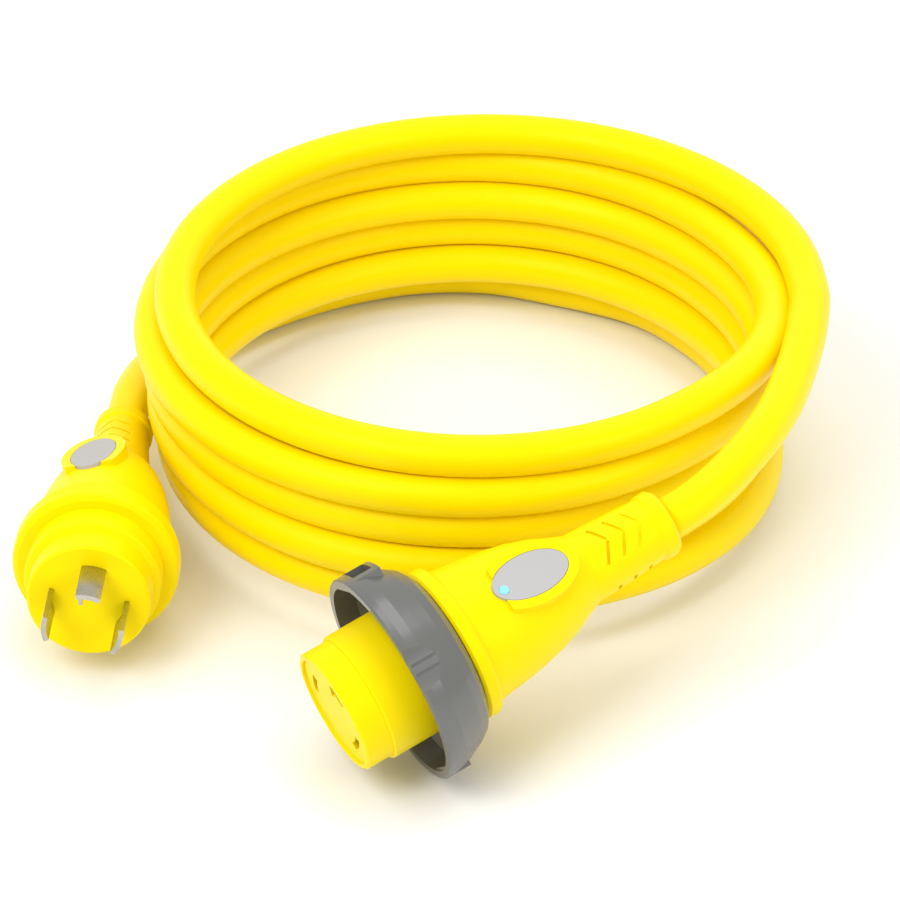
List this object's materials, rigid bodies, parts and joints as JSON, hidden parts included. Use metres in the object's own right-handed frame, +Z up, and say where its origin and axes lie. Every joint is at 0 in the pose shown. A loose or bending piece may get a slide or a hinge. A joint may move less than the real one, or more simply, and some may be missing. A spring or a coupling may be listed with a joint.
{
  "type": "shore power cord",
  "caption": "Coiled yellow power cord with a locking plug at one end and a locking connector with a turning grey coupling ring at the other.",
  "frame": {"origin": "on the floor below the middle of the connector", "axes": "-Y is the way the connector's nose faces in plan, +Y runs back to its strain relief, +Z is up; the coil lies at -X, +Y and the plug at -X, -Y"},
  "size_m": [0.3236, 0.334, 0.085],
  "materials": {
    "yellow_moulding": "satin moulded plastic",
    "cord_jacket": "smooth satin cord jacket",
    "grey_ring": "satin grey moulded plastic",
    "plated_metal": "nickel-plated brass",
    "brass_screw": "plain brass",
    "badge_plate": "brushed plate",
    "led_lens": "clear blue lens",
    "black_insulator": "black moulding",
    "black_wire": "wire insulation",
    "white_wire": "wire insulation",
    "green_wire": "wire insulation and board"
  },
  "bodies": {
    "root": {"connector_housing": "yellow_moulding", "connector_nose": "yellow_moulding", "contact_block": "yellow_moulding", "connector_face_plate": "yellow_moulding", "line_contact": "plated_metal", "neutral_contact": "plated_metal", "ground_contact": "plated_metal", "connector_insulator": "black_insulator", "connector_terminal_screws": "brass_screw", "ring_retainer": "black_insulator", "seal_gasket": "black_insulator", "connector_strain_relief": "yellow_moulding", "connector_badge": "badge_plate", "led_lens": "led_lens", "led_board": "green_wire", "connector_line_wire": "black_wire", "connector_neutral_wire": "white_wire", "connector_ground_wire": "green_wire", "connector_cord_tail": "cord_jacket", "plug_housing": "yellow_moulding", "plug_face": "yellow_moulding", "line_blade": "plated_metal", "neutral_blade": "plated_metal", "ground_blade": "plated_metal", "plug_insulator": "black_insulator", "plug_terminal_screws": "brass_screw", "plug_strain_relief": "yellow_moulding", "plug_badge": "badge_plate", "plug_line_wire": "black_wire", "plug_neutral_wire": "white_wire", "plug_ground_wire": "green_wire", "plug_cord_tail": "cord_jacket", "connector_lead": "cord_jacket", "cord_coil": "cord_jacket", "plug_lead": "cord_jacket"},
    "ring": {"coupling_ring": "grey_ring"}
  },
  "joints": [
    {"name": "ring_turn", "type": "hinge", "parent": "root", "child": "ring", "pos_m": [0, -0.0415, 0.0373], "axis": [0, -0.9613, -0.2756], "continuous": true}
  ]
}
